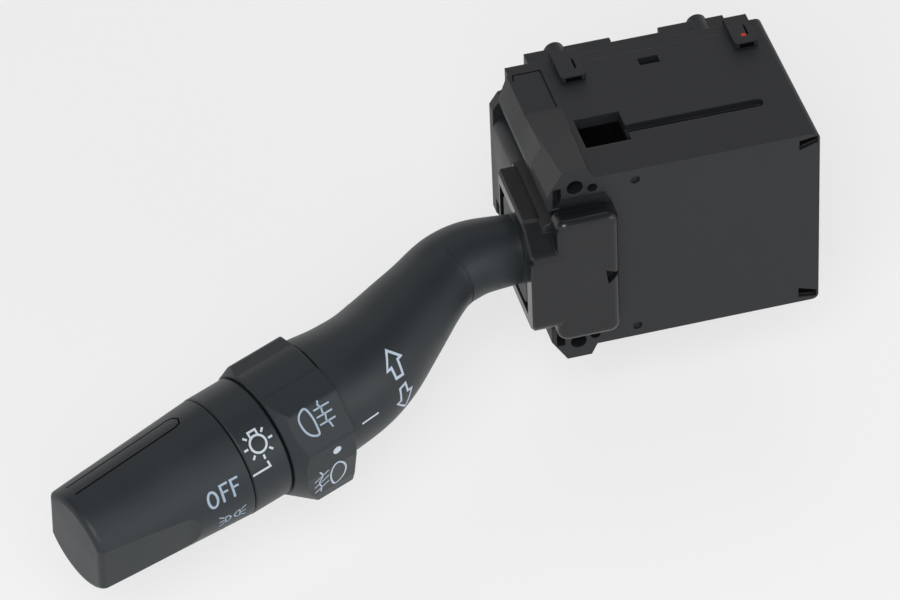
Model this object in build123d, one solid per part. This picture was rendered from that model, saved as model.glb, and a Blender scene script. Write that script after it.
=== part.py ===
from build123d import *
import os
from math import atan2, cos, degrees, hypot, radians, sin

os.makedirs("parts", exist_ok=True)

# Combination stalk switch: turn signals, dimmer and flash, lights and fog lights.
# Origin: midway between the two fixing-screw holes, on the front face of the case.
# X runs along the case away from the stalk, -Y faces the driver, Z is up.
# The Y axis is the turn-signal pivot. All sizes are in millimetres.

# ---- case and its fixing ----------------------------------------------------
screw_pitch = 45.0        # between the two fixing-screw holes, along Z
screw_bore = 3.7
screw_depth = 16.0        # the holes end inside the ears
dowel_bore = 2.3          # small locating hole beside each screw hole
dowel_x = 4.0
dowel_pitch = 43.0
dowel_depth = 3.6
case_left = -4.2          # upper left edge; below it the side slopes out to side_foot
side_foot = -6.3
side_foot_z = 18.5
case_right = 56.9
case_depth = 40.7
case_height = 48.6
front_wall = 4.4
side_wall = 3.0
end_wall = 2.4
cavity_left = 4.0
edge_round = 1.0
ear_left = -6.3
ear_right = 4.4
ear_rise = 2.8            # how far each ear stands above and below the case
ear_flare = 13.0          # behind this the ear is only as wide as the case
ear_depth = 26.0
bay_height = 34.0         # open left end, where the bracket swings
guide_slot_x = (14.6, 48.2)
guide_slot_y = (12.9, 15.8)
guide_slot_depth = 1.8
pocket_x = (5.7, 16.2)
pocket_y = (10.4, 20.9)
window_x = (25.6, 30.4)
window_y = (35.2, 37.9)
groove_x = 3.5            # thin parting groove round the tongue beside the left tab
groove_start = 26.4
groove_width = 0.4
notch_x = (52.1, 56.4)
notch_z = (20.2, 22.9)
pip_x = 13.9
pip_z = 21.4
pip_bore = 2.2
recess_depth = 1.2        # sunk face between each ear and the bracket's plate
recess_outline = ((-3.6, 12.0), (-3.6, 19.8), (6.6, 19.8), (8.2, 17.0), (9.7, 12.0))
side_slot_x = (-5.1, -3.2)    # blind slot in each ear's left part
side_slot_depth = 3.2
side_slot_top = 22.9

# ---- rear cover and connector -----------------------------------------------
cover_thick = 3.4
cover_lip = 1.5
cover_fit = 0.1
cover_left = -3.9
cover_foot = -7.8         # the cover reaches further left behind the bracket
cover_foot_z = 16.0
tab_rise = 1.6
tab_left_x = (6.8, 12.7)
tab_right_x = (47.9, 53.4)
tab_reach = 6.5           # how far the snap tabs reach over the case
tab_slit = 0.5
tab_slit_inset = 1.5      # from the tab's right side
tab_slit_length = 4.0
catch_height = 0.8
ledges = ((1.9, 22.2, 4.3), (22.2, 33.7, 2.6), (33.7, 49.2, 4.4))    # along X, and out of the back
ledge_drop = 1.0
ledge_height = 5.0
boss_x = (9.3, 43.2)
boss_z = 21.7
boss_radius = 2.4
boss_length = 5.5
nub_x = (52.2, 53.8)
plug_centre = (35.0, -7.0)
plug_opening = (27.0, 11.0)
plug_wall = 1.6
plug_depth = 15.0
blade_width = 2.2
blade_thick = 0.8
blade_pitch = 4.6
blade_row_gap = 5.0
blade_out = 8.0
blade_in = 3.0

# ---- turn-signal bracket ----------------------------------------------------
turn_angle = 13.0         # each way
bearing_gap = 0.06        # radial, shaft in bore
slide_gap = 0.15
drum_radius = 15.4
opening_right = 8.4       # the front opening stops here, hidden behind the plate
neck_right = 5.0          # right side of the drum where it passes the front wall
plate_front = -5.5
plate_back = -0.5
plate_left = -6.0
plate_right = 8.6
plate_height = 34.6
plate_corner = 2.6
plate_bevel = 1.8
plate_notch = ((5.2, 1.7), (8.7, 0.1), (5.8, -2.5))     # small pointed hollow, in (x, z)
plate_notch_depth = 2.0
boss_left = -11.9         # end face of the boss that the stalk comes out of
boss_height = 27.0
boss_slope = (7.6, 5.2)   # the boss's upper front edge is sloped off, along Y and Z
boss_round = 3.0
barrel_radius = 6.0
trunnion_radius = 3.0
trunnion_length = 5.0
hub_left = -7.8           # rear bearing block of the case
hub_right = 1.5
hub_height = 27.0
hub_round = 3.5
arm_reach = 28.0
arm_width = 10.0
arm_thick = 7.0

# ---- stalk ------------------------------------------------------------------
dimmer_angle = 6.0        # each way
stalk_y = 9.8             # the stalk and the dimmer pin lie this far behind the front face
stalk_start = -11.5       # where the stalk's middle line starts, just inside the mouth
stalk_tilt = 13.0         # the plane of the bends leans this much about X
root_straight = 6.9
bend_radius_1 = 20.8
bend_angle_1 = 41.8
mid_straight = 21.8
bend_radius_2 = 42.0
end_angle = 22.0          # of the end axis, from the root axis
root_radius = 7.9
tube_wall = 2.2
sleeve_start = 17.5       # along the stalk's middle line, from the bracket's face
sleeve_end = 64.0
sleeve_radii = ((0.0, root_radius), (12.0, 8.8), (24.0, 9.3), (38.0, 11.4), (52.0, 13.4), (64.0, 14.5))
core_drum_radius = 10.4
flange_left = -11.6       # rounded flange that fills the mouth of the bracket
flange_half_y = 9.3
flange_half_z = 10.0
core_drum_height = 20.4
mouth_gap = 0.5
dimmer_pin_radius = 2.0
tail_thick = 3.6
tail_z = -6.5
tail_slot = 14.4
tail_ball_radius = 2.2
tail_reach = 21.5
nose_z = 4.5

# ---- end group: fog collar, index ring and light knob -----------------------
spindle_radius = 4.5
spindle_bore = 3.0
flange_radius = 12.0
flange_length = 5.4
seam = 0.35               # gap shown at each turning seam
collar_length = 15.4
collar_radius = 15.0
collar_bore = 12.4
lobe_front = ((2.0, 15.0), (8.6, 14.4), (15.8, 7.2), (16.5, -0.6), (15.9, -9.0), (15.0, -13.6), (6.0, -14.2))
lobe_back = ((-2.0, -14.6), (-12.9, -9.0), (-13.9, 2.0), (-12.2, 11.2), (-4.0, 14.3))
lobe_round = 2.2
lobe_slope = 0.78         # the tip ends of the lobes are turned down at this rise
ring_length = 10.4
ring_radius = 14.4
knob_length = 37.6
knob_base_radius = 14.3
knob_tip_radius = 11.9
knob_flat = 9.7           # from the axis to each grip flat, at the tip
knob_flat_start = 10.5     # from the ring seam
knob_bore = 8.2
knob_round = 1.6
web_thick = 4.0
ball_radius = 1.6
ball_gap = 0.15
disc_thick = 1.5
wiper_thick = 0.5
light_angle = 68.0
fog_angle = 35.0

# ---- springs, plungers and contacts -----------------------------------------
plunger_radius = 2.4
plunger_length = 11.0
plunger_bore = 16.0       # depth of the bore in the arm
nose_gap = 0.15
notch_depth = 0.7
small_plunger_radius = 2.0
small_plunger_length = 6.0
small_bore_start = 3.6    # the small plunger's bore starts here in the drum
small_plunger_reach = 13.2
dimmer_slider_width = 7.5
dimmer_slider_height = 18.4
cam_height = 24.0
peg_radius = 1.5
peg_x = 22.0
contact_plate = 1.8
pawl_thick = 4.0
pawl_pivot_x = 46.0
pawl_y = 15.0
pawl_reach = 61.0
pawl_pin_radius = 1.5
pawl_boss_radius = 3.4

half_height = case_height / 2
cavity_half = half_height - side_wall
cavity_right = case_right - end_wall
bay_half = bay_height / 2
cover_back = case_depth + cover_thick
drum_back = case_depth - 17.2
barrel_back = case_depth - 2.4
plunger_reach = arm_reach + 4.0
arm_y = (drum_back + 2.5, drum_back + 2.5 + arm_thick)
cam_x = (arm_reach + 2.0, arm_reach + 9.0)
plate_post_x = (29.7, 31.5)


# ---- plain solids -----------------------------------------------------------
def block(x, y, z):
    """Box between two corners, given as pairs along each axis."""
    size = Box(x[1] - x[0], y[1] - y[0], z[1] - z[0])
    return Pos((x[0] + x[1]) / 2, (y[0] + y[1]) / 2, (z[0] + z[1]) / 2) * size


def rod_x(radius, x, y, z):
    return Pos((x[0] + x[1]) / 2, y, z) * Rot(0, 90, 0) * Cylinder(radius, x[1] - x[0])


def rod_y(radius, y, x=0.0, z=0.0):
    return Pos(x, (y[0] + y[1]) / 2, z) * Rot(90, 0, 0) * Cylinder(radius, y[1] - y[0])


def rod_z(radius, z, x=0.0, y=0.0):
    return Pos(x, y, (z[0] + z[1]) / 2) * Cylinder(radius, z[1] - z[0])


def tube_z(outer, inner, z):
    return rod_z(outer, z) - rod_z(inner, (z[0] - 1, z[1] + 1))


def mirrored(shape):
    """The shape with its mirror image below the middle plane."""
    return shape + mirror(shape, Plane.XY)


def prism_y(points, y):
    """Outline in (x, z), extruded along Y."""
    outline = Plane((0, y[0], 0), x_dir=(1, 0, 0), z_dir=(0, 1, 0)) * Polygon(
        *[(px, -pz) for px, pz in points], align=None)
    return extrude(outline, y[1] - y[0], dir=(0, 1, 0))


def coil(radius, wire, length):
    """Spring as a closed sleeve whose outside shows its turns; it stands on Z = 0."""
    turns = max(3, round(length / (2.2 * wire)))
    pitch = length / turns
    outside = [(radius - wire, 0)]
    for turn in range(turns):
        outside.append((radius - wire / 2, turn * pitch))
        outside.append((radius, (turn + 0.5) * pitch))
    outside.append((radius - wire / 2, length))
    outside.append((radius - wire, length))
    return revolve(Plane.XZ * Polygon(*outside, align=None), Axis.Z)


# ---- the stalk's middle line ------------------------------------------------
stalk_up = Vector(0, -sin(radians(stalk_tilt)), cos(radians(stalk_tilt)))
stalk_out = Vector(-1, 0, 0)
stalk_side = Vector(0, -cos(radians(stalk_tilt)), -sin(radians(stalk_tilt)))
stalk_root = Vector(stalk_start, stalk_y, 0)
arc_1 = bend_radius_1 * radians(bend_angle_1)
arc_2 = bend_radius_2 * radians(bend_angle_1 - end_angle)


def stalk_plane(along):
    """Plane across the stalk at a distance along its middle line.

    Its Z points to the tip, its X to the driver's side and its Y up.
    """
    out, side, angle = 0.0, 0.0, 0.0
    left = along
    step = min(left, root_straight)
    out += step
    left -= step
    if left > 0:
        step = min(left, arc_1)
        angle = step / bend_radius_1
        out += bend_radius_1 * sin(angle)
        side += bend_radius_1 * (1 - cos(angle))
        left -= step
    if left > 0:
        step = min(left, mid_straight)
        out += step * cos(angle)
        side += step * sin(angle)
        left -= step
    if left > 0:
        step = min(left, arc_2)
        start = angle
        angle = start - step / bend_radius_2
        out += bend_radius_2 * (sin(start) - sin(angle))
        side += bend_radius_2 * (cos(angle) - cos(start))
        left -= step
    out += left * cos(angle)
    side += left * sin(angle)
    tip_way = stalk_out * cos(angle) + stalk_side * sin(angle)
    driver_way = stalk_up.cross(tip_way)
    middle = stalk_root + stalk_out * out + stalk_side * side
    return Plane(origin=middle, x_dir=driver_way, z_dir=tip_way)


def stalk_radius(along):
    for (s0, r0), (s1, r1) in zip(sleeve_radii, sleeve_radii[1:]):
        if along <= s1:
            return r0 + (r1 - r0) * (along - s0) / (s1 - s0)
    return sleeve_radii[-1][1]


def stalk_loft(start, end, count, inset=0.0):
    """Round body along the stalk's middle line, with its radii less an inset."""
    rings = []
    for k in range(count + 1):
        along = start + (end - start) * k / count
        rings.append(stalk_plane(along) * Circle(stalk_radius(along) - inset))
    return loft(rings)


end_plane = stalk_plane(sleeve_end)


# ---- case -------------------------------------------------------------------
def ear():
    """Upper screw ear: a slab that fades into the case towards the rear."""
    top = half_height + ear_rise
    outline = ((ear_left, screw_pitch / 2 - 4.0), (ear_left, screw_pitch / 2 - 1.2), (ear_left + 3.6, top),
               (ear_right - 1.4, top), (ear_right, half_height), (ear_right, screw_pitch / 2 - 4.0))
    slab = prism_y(outline, (0, ear_depth))
    fade = prism_y(((ear_left - 1, half_height), (ear_left - 1, top + 5), (ear_right + 1, top + 5),
                    (ear_right + 1, half_height)), (0, ear_depth + 1))
    slope = Plane((0, 0, top), x_dir=(1, 0, 0), z_dir=(0, ear_rise, ear_depth))
    slab -= fade & (slope * Pos(0, 0, 25) * Box(90, 90, 50))
    side_cut = block((ear_left - 1, case_left), (ear_flare, ear_depth + 1), (screw_pitch / 2 - 5, top + 1))
    return slab - side_cut


def left_band():
    """Upper left side of the case: solid, and sloping out to its foot."""
    return prism_y(((cavity_left, bay_half), (side_foot, bay_half), (side_foot, side_foot_z),
                    (case_left, half_height), (cavity_left, half_height)), (0, case_depth))


def rear_hub():
    """Bearing block behind the bracket, joined to the case's left side."""
    hub = block((hub_left, hub_right), (drum_back + 0.6, case_depth), (-hub_height / 2, hub_height / 2))
    hub = fillet(hub.edges().filter_by(Axis.Y).sort_by(Axis.X)[:2], hub_round)
    web = block((case_left, hub_right), (drum_back + 0.6, case_depth), (hub_height / 2 - 1.0, bay_half + 1.0))
    return hub + mirrored(web) - rod_y(barrel_radius + bearing_gap, (0, case_depth + 1))


def make_main_case():
    """Moulded case, open at its left end for the bracket and at its rear for the cover."""
    shell = block((case_left, case_right), (0, case_depth), (-half_height, half_height))
    shell = fillet(shell.edges().filter_by(Axis.Y).sort_by(Axis.X)[-2:], edge_round * 1.5)
    shell += mirrored(ear()) + mirrored(left_band())
    shell -= block((cavity_left, cavity_right), (front_wall, case_depth + 1), (-cavity_half, cavity_half))
    shell -= block((case_left - 5, cavity_left + 0.1), (front_wall, case_depth + 1), (-bay_half, bay_half))
    # round opening that is the bracket's front bearing, and the open left end of the front wall
    opening = rod_y(drum_radius + bearing_gap, (-1, front_wall + 1))
    shell -= opening - block((opening_right, 40), (-2, front_wall + 2), (-40, 40))
    shell -= block((side_foot - 1, case_left + 0.5), (-1, front_wall + 1), (-bay_half, bay_half))
    shell += rear_hub()
    # sunk faces, screw holes, locating holes, pips and pointed notches of the front
    for side in (1, -1):
        shell -= prism_y([(x, side * z) for x, z in recess_outline], (-1, recess_depth))
        shell -= rod_y(screw_bore / 2, (-1, screw_depth), 0, side * screw_pitch / 2)
        shell -= rod_y(dowel_bore / 2, (-1, dowel_depth), dowel_x, side * dowel_pitch / 2)
        shell -= rod_y(pip_bore / 2, (-1, 0.8), pip_x, side * pip_z)
        shell -= prism_y(((notch_x[0], side * notch_z[0]), (notch_x[1], side * (notch_z[0] + 1.4)),
                          (notch_x[1], side * (notch_z[1] + 0.6)), (notch_x[0], side * notch_z[1])), (-1, 1.2))
    shell -= mirrored(block(side_slot_x, (-1, side_slot_depth), (bay_half + 0.7, side_slot_top)))
    # top face: guide slot, pocket, window and the parting groove of the tongue
    slot = block(guide_slot_x, guide_slot_y, (half_height - guide_slot_depth, half_height + 1))
    slot = fillet(slot.edges().filter_by(Axis.Z).sort_by(Axis.X)[-2:], 1.4)
    shell -= slot
    shell -= block(pocket_x, pocket_y, (half_height - side_wall - 1, half_height + 1))
    shell -= block(window_x, window_y, (half_height - side_wall - 1, half_height + 1))
    shell -= block((groove_x - groove_width / 2, groove_x + groove_width / 2), (groove_start, case_depth + 1),
                   (half_height - groove_width, half_height + 1))
    # catches that the cover's snap tabs hold
    for x in (tab_left_x, tab_right_x):
        shell += mirrored(catch(x))
    # slot for the cancel pawl in the right end, and what stands on the front wall inside
    pawl_way = pawl_thick / 2 + 0.6
    shell -= block((cavity_right - 1, case_right + 1), (pawl_y - pawl_way, pawl_y + pawl_way), (-6.0, 6.0))
    shell += cam_post() + pawl_boss() + plate_posts()
    return shell


def catch_place(x, room):
    """Where the catch of one snap tab stands, with some room round it."""
    middle = (x[0] + x[1] - tab_slit_inset) / 2
    return block((middle - 1.2 - room, middle + 1.2 + room), (case_depth - 4.2 - room, case_depth - 1.8 + room),
                 (half_height - 0.5, half_height + catch_height + room / 2))


def catch(x):
    """Wedge on the top face that snaps into one tab of the cover."""
    wedge = catch_place(x, 0.0)
    return chamfer(wedge.edges().filter_by(Axis.X).group_by(Axis.Z)[-1].sort_by(Axis.Y)[:1], catch_height - 0.1)


def cam_post():
    """Pillar on the front wall, under the detent cam and clear of the contact plate."""
    left = plate_post_x[1] + 2.0
    return block((left, left + 4.0), (front_wall, arm_y[0] - 0.5), (-9.0, 9.0))


def pawl_boss():
    boss = rod_y(pawl_boss_radius, (front_wall, pawl_y - pawl_thick / 2 - 0.4), pawl_pivot_x)
    return boss - rod_y(pawl_pin_radius, (front_wall + 2.0, pawl_y), pawl_pivot_x)


def plate_posts():
    """Two pillars that carry the turn contact plate."""
    pillar = block(plate_post_x, (front_wall, turn_plate_y[0]), (9.5, 13.5))
    return mirrored(pillar)


# ---- rear cover -------------------------------------------------------------
def snap_tab(x):
    """Raised tab over the top face, hollowed under for the case's catch."""
    tab = block(x, (case_depth - tab_reach, cover_back), (half_height + 0.1, half_height + tab_rise))
    tab = fillet(tab.edges().filter_by(Axis.Z).sort_by(Axis.Y)[:2], 0.6)
    tab += block(x, (case_depth, cover_back), (half_height - 1.5, half_height + 0.1))
    slit = x[1] - tab_slit_inset
    tab -= block((slit - tab_slit, slit), (case_depth - tab_slit_length, case_depth - 0.2),
                 (half_height, half_height + tab_rise + 1))
    return tab - catch_place(x, 0.3)


def make_rear_cover():
    """Rear cover with its rim, snap tabs, bearing boss, ledges and connector shroud."""
    left = ((cover_left, half_height), (cover_left, cover_foot_z + 2.5),
            (cover_foot + 2.0, cover_foot_z + 2.0), (cover_foot, cover_foot_z - 1.0))
    low = [(x, -z) for x, z in reversed(left)]
    right = ((case_right, -half_height), (case_right, half_height))
    plate = prism_y((*left, *low, *right), (case_depth, cover_back))
    corners = plate.edges().filter_by(Axis.Y).sort_by(Axis.X)[-2:]
    plate = fillet(corners, edge_round * 1.5)
    plate = chamfer(plate.faces().sort_by(Axis.Y)[-1].outer_wire().edges(), 0.5)
    rim_x = (cavity_left + cover_fit, cavity_right - cover_fit)
    rim_z = (-cavity_half + cover_fit, cavity_half - cover_fit)
    rim = block(rim_x, (case_depth - 2.0, case_depth), rim_z)
    rim -= block((rim_x[0] - 1, rim_x[1] - cover_lip), (0, case_depth + 1),
                 (rim_z[0] + cover_lip, rim_z[1] - cover_lip))
    plate += rim
    for x0, x1, out in ledges:
        ledge = block((x0, x1), (cover_back - 1.0, cover_back + out),
                      (half_height - ledge_drop - ledge_height, half_height - ledge_drop))
        plate += mirrored(ledge)
    for x in boss_x:
        plate += mirrored(rod_y(boss_radius, (cover_back - 1.0, cover_back + boss_length), x, boss_z))
    nub = block(nub_x, (cover_back - 1.0, cover_back + 1.2), (half_height - 3.0, half_height - 1.2))
    plate += mirrored(nub)
    for x in (tab_left_x, tab_right_x):
        plate += mirrored(snap_tab(x))
    # rear bearing of the bracket
    plate += rod_y(7.0, (cover_back - 1.0, cover_back + 2.0))
    plate -= rod_y(trunnion_radius + bearing_gap, (case_depth - 1, barrel_back + trunnion_length + 0.4))
    # boss over the pawl pin and rib over the detent cam
    boss = rod_y(pawl_boss_radius, (pawl_y + pawl_thick / 2 + 0.4, case_depth + 1.0), pawl_pivot_x)
    plate += boss - rod_y(pawl_pin_radius, (0, pawl_y + 8.0), pawl_pivot_x)
    plate += block((cam_x[0] + 3.5, cam_x[1]), (arm_y[1] + 0.5, case_depth + 1.0), (-1.0, 9.0))
    return plate + plug_shroud() - blade_slots()


def plug_shroud():
    cx, cz = plug_centre
    wide, high = plug_opening
    outer = block((cx - wide / 2 - plug_wall, cx + wide / 2 + plug_wall), (cover_back, cover_back + plug_depth),
                  (cz - high / 2 - plug_wall, cz + high / 2 + plug_wall))
    outer = fillet(outer.edges().filter_by(Axis.Y), 1.5)
    outer -= block((cx - wide / 2, cx + wide / 2), (cover_back + 1.0, cover_back + plug_depth + 1),
                   (cz - high / 2, cz + high / 2))
    # latch window in the upper wall
    outer -= block((cx - 3.0, cx + 3.0), (cover_back + plug_depth - 8.0, cover_back + plug_depth - 4.0),
                   (cz + high / 2 - 0.5, cz + high / 2 + plug_wall + 1))
    return outer


def blade_places():
    cx, cz = plug_centre
    for row in (-0.5, 0.5):
        for k in range(5):
            yield cx + (k - 2) * blade_pitch, cz + row * blade_row_gap


def blade_slots():
    slots = []
    for x, z in blade_places():
        slots.append(block((x - blade_width / 2 - 0.02, x + blade_width / 2 + 0.02),
                           (case_depth - 1, cover_back + 2), (z - blade_thick / 2 - 0.02, z + blade_thick / 2 + 0.02)))
    return Compound(children=slots)


def make_terminal_blades():
    """Ten pin blades, two rows of five, pressed through the cover's floor."""
    blades = []
    for x, z in blade_places():
        blade = block((x - blade_width / 2, x + blade_width / 2),
                      (case_depth - blade_in, cover_back + 1.0 + blade_out), (z - blade_thick / 2, z + blade_thick / 2))
        tip = blade.edges().filter_by(Axis.X).sort_by(Axis.Y)[-2:]
        blades.append(chamfer(tip, 0.3))
    return Compound(children=blades)


# ---- turn-signal bracket ----------------------------------------------------
mouth_half_y = core_drum_radius + mouth_gap
mouth_half_z = core_drum_height / 2 + 0.2


def make_turn_bracket():
    """Glossy bracket: front plate, socket for the stalk, rear barrel and switch arm."""
    plate = block((plate_left, plate_right), (plate_front, plate_back), (-plate_height / 2, plate_height / 2))
    plate = fillet(plate.edges().filter_by(Axis.Y), plate_corner)
    front = plate.faces().sort_by(Axis.Y)[0]
    plate = fillet(front.edges(), plate_bevel)
    low, high = boss_height / 2, drum_back - 1.5
    profile = Plane.YZ * Polygon(
        (plate_front, -low), (high, -low), (high, low), (plate_front + boss_slope[0], low),
        (plate_front, low - boss_slope[1]), align=None)
    socket = extrude(profile, -boss_left, dir=(-1, 0, 0))
    long_edges = socket.edges().filter_by(Axis.X)
    ridge = long_edges.group_by(Axis.Z)[-1].sort_by(Axis.Y)[:1]
    socket = fillet(long_edges.sort_by(Axis.Y)[:2] + ridge, boss_round)
    socket = chamfer(socket.faces().sort_by(Axis.X)[0].edges(), 0.6)
    drum = rod_y(drum_radius, (plate_back, drum_back))
    drum -= block((-40, -8.0), (-10, 50), (-40, 40))
    drum -= block((neck_right, 40), (-10, front_wall + 0.3), (-40, 40))
    body = plate + socket + drum
    body += rod_y(barrel_radius, (drum_back - 1.0, barrel_back))
    body += rod_y(trunnion_radius, (barrel_back - 1.0, barrel_back + trunnion_length))
    body += block((2.6, arm_reach), arm_y, (-arm_width / 2, arm_width / 2))
    body += rod_y(peg_radius, (arm_y[0] - 5.5, arm_y[0] + 1.0), peg_x)
    # mouth for the stalk, open to the left, with a slot for its tail to the right
    body -= block((boss_left - 1, 0), (stalk_y - mouth_half_y, stalk_y + mouth_half_y), (-mouth_half_z, mouth_half_z))
    body -= rod_z(mouth_half_y, (-mouth_half_z, mouth_half_z), 0, stalk_y)
    body -= block((0, drum_radius + 1), (stalk_y - tail_slot / 2, stalk_y + tail_slot / 2), (-mouth_half_z, mouth_half_z))
    body -= rod_z(dimmer_pin_radius, (-drum_radius, drum_radius), 0, stalk_y)
    body -= rod_x(plunger_radius + bearing_gap, (arm_reach - plunger_bore, arm_reach + 1), sum(arm_y) / 2, 0)
    return body - prism_y(plate_notch, (plate_front - 1, plate_front + plate_notch_depth))


def make_dimmer_pin():
    half = drum_radius - 2.2
    return rod_z(dimmer_pin_radius, (-half, half), 0, stalk_y)


# ---- turn detent and turn contacts ------------------------------------------
def make_detent_cam():
    """Acetal block with three notches for the turn plunger's nose."""
    y = (arm_y[0] - 0.5, arm_y[1] + 0.5)
    block_out = block(cam_x, y, (-cam_height / 2, cam_height / 2))
    block_out -= rod_y(plunger_reach + nose_gap, (0, 60))
    for angle in (-turn_angle, 0, turn_angle):
        middle = plunger_reach - plunger_radius + notch_depth
        x = middle * cos(radians(angle))
        z = middle * sin(radians(angle))
        block_out -= rod_y(plunger_radius + nose_gap, (0, 60), x, z)
    return block_out


def plunger(radius, length):
    """Round-nosed plunger along Z, its nose at Z = length."""
    body = rod_z(radius, (0, length - radius)) + Pos(0, 0, length - radius) * Sphere(radius)
    return body


def make_turn_plunger():
    stand = Plane((plunger_reach - plunger_length, sum(arm_y) / 2, 0), x_dir=(0, 1, 0), z_dir=(1, 0, 0))
    return stand * plunger(plunger_radius, plunger_length)


def make_turn_spring():
    start = arm_reach - plunger_bore
    length = plunger_reach - plunger_length - start
    stand = Plane((start, sum(arm_y) / 2, 0), x_dir=(0, 1, 0), z_dir=(1, 0, 0))
    return stand * coil(plunger_radius - 0.2, 0.6, length)


slider_y = (arm_y[0] - 6.4, arm_y[0] - 1.6)
turn_plate_y = (slider_y[0] - slide_gap - contact_plate, slider_y[0] - slide_gap)
turn_slider_x = (17.2, 27.0)
turn_slider_half = 7.0


def make_turn_contact_plate():
    """Moulded plate with two guide lips, on pillars of the case."""
    half = 14.0
    plate = block((turn_slider_x[0] - 1.2, plate_post_x[1]), turn_plate_y, (-half, half))
    lip = block((turn_slider_x[1] + slide_gap, turn_slider_x[1] + slide_gap + 1.4),
                (turn_plate_y[1], turn_plate_y[1] + 3.0), (-half, half))
    return plate + lip


def make_turn_slider():
    slider = block(turn_slider_x, slider_y, (-turn_slider_half, turn_slider_half))
    slider -= block((peg_x - peg_radius - 0.75, peg_x + peg_radius + 0.25), (slider_y[0] + 0.7, slider_y[1] + 1),
                    (-peg_radius - 0.1, peg_radius + 0.1))
    slider -= turn_wiper_place(0.0)
    return slider


def turn_wiper_place(inset):
    return block((turn_slider_x[0] + 1.0 + inset, turn_slider_x[0] + 3.0 - inset), (slider_y[0], slider_y[0] + wiper_thick),
                 (-5.0 + inset, 5.0 - inset))


def make_turn_wiper():
    return turn_wiper_place(0.05)


# ---- stalk core, sleeve and dimmer pieces -----------------------------------
def make_stalk_core():
    """Root of the stalk: upright drum on the dimmer pin, tube, and tail with its ball."""
    drum = rod_z(core_drum_radius, (-core_drum_height / 2, core_drum_height / 2), 0, stalk_y)
    drum = chamfer(drum.edges().filter_by(GeomType.CIRCLE), 0.5)
    drum -= block((neck_right - 0.4, 20), (-20, front_wall + 1.5), (-20, 20))
    tube = stalk_loft(0.0, sleeve_start, 6)
    flange = block((flange_left, 0.0), (stalk_y - flange_half_y, stalk_y + flange_half_y),
                   (-flange_half_z, flange_half_z))
    flange = fillet(flange.edges().filter_by(Axis.X), 3.0)
    flange = chamfer(flange.faces().sort_by(Axis.X)[0].edges(), 0.4)
    core = drum + flange + tube
    spigot = stalk_loft(sleeve_start - 0.5, sleeve_start + 8.0, 3, inset=tube_wall + 0.25)
    core += spigot
    core -= stalk_loft(0.0, sleeve_start + 8.5, 8, inset=2 * tube_wall)
    core += block((core_drum_radius - 3.0, tail_reach), (stalk_y - tail_thick / 2, stalk_y + tail_thick / 2),
                  (tail_z - 1.5, tail_z + 1.5))
    core += Pos(tail_reach, stalk_y, tail_z) * Sphere(tail_ball_radius)
    core -= rod_z(dimmer_pin_radius + bearing_gap, (-20, 20), 0, stalk_y)
    core -= rod_x(small_plunger_radius + bearing_gap, (small_bore_start, 20), stalk_y, nose_z)
    return core


def make_stalk_sleeve():
    """Outer sleeve of the stalk, swelling from the root to the fog collar."""
    outer = stalk_loft(sleeve_start, sleeve_end, 10)
    inner = stalk_loft(sleeve_start - 0.01, sleeve_end - flange_length, 9, inset=tube_wall)
    inner += end_plane * rod_z(flange_radius + 0.02, (-flange_length, 1.0))
    return outer - inner


def make_dimmer_cam():
    """Notched block in the bracket, behind the stalk's drum."""
    x = (small_plunger_reach - 0.6, drum_radius - 0.6)
    cam = block(x, (front_wall + 0.3, stalk_y + tail_slot / 2), (nose_z - 3.5, mouth_half_z))
    cam = cam & rod_y(drum_radius - 0.5, (0, case_depth))
    cam -= rod_z(small_plunger_reach + nose_gap, (-20, 20), 0, stalk_y)
    for angle in (-dimmer_angle, 0, dimmer_angle):
        middle = small_plunger_reach - small_plunger_radius + 0.5
        cam -= Pos(middle * cos(radians(angle)), stalk_y + middle * sin(radians(angle)), nose_z) * Sphere(
            small_plunger_radius + nose_gap)
    return cam


def make_dimmer_plunger():
    start = small_plunger_reach - small_plunger_length
    stand = Plane((start, stalk_y, nose_z), x_dir=(0, 1, 0), z_dir=(1, 0, 0))
    return stand * plunger(small_plunger_radius, small_plunger_length)


def make_dimmer_spring():
    length = small_plunger_reach - small_plunger_length - small_bore_start
    stand = Plane((small_bore_start, stalk_y, nose_z), x_dir=(0, 1, 0), z_dir=(1, 0, 0))
    return stand * coil(small_plunger_radius - 0.2, 0.5, length)


dimmer_slider_x = (tail_reach - 1.5, tail_reach - 1.5 + dimmer_slider_width)
dimmer_slider_z = (tail_z - dimmer_slider_height / 2, tail_z + dimmer_slider_height / 2)
dimmer_slider_half = 2.95


def make_dimmer_slider():
    slider = block(dimmer_slider_x, (stalk_y - dimmer_slider_half, stalk_y + dimmer_slider_half),
                   dimmer_slider_z)
    slider -= block((dimmer_slider_x[0] - 1, tail_reach + 3.7),
                    (stalk_y - tail_ball_radius - 0.1, stalk_y + tail_ball_radius + 0.1),
                    (dimmer_slider_z[0] + 1.0, dimmer_slider_z[1] - 1.0))
    return slider - dimmer_wiper_place(0.0)


def dimmer_wiper_place(inset):
    return block((dimmer_slider_x[1] - wiper_thick, dimmer_slider_x[1]),
                 (stalk_y - 2.4 + inset, stalk_y + 2.4 - inset), (tail_z - 5.0 + inset, tail_z + 5.0 - inset))


def make_dimmer_wiper():
    return dimmer_wiper_place(0.05)


def make_dimmer_contact_plate():
    """Upright plate on the front wall, with two lips that guide the dimmer slider."""
    x0 = dimmer_slider_x[1] + slide_gap
    y = (front_wall, turn_plate_y[0])
    plate = block((x0, x0 + contact_plate), y, (dimmer_slider_z[0] - 1.6, 5.5))
    lip = block((x0 - 3.0, x0), y, (dimmer_slider_z[1] + slide_gap, dimmer_slider_z[1] + slide_gap + 1.4))
    low = block((x0 - 3.0, x0), y, (dimmer_slider_z[0] - slide_gap - 1.4, dimmer_slider_z[0] - slide_gap))
    return plate + lip + low


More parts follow.
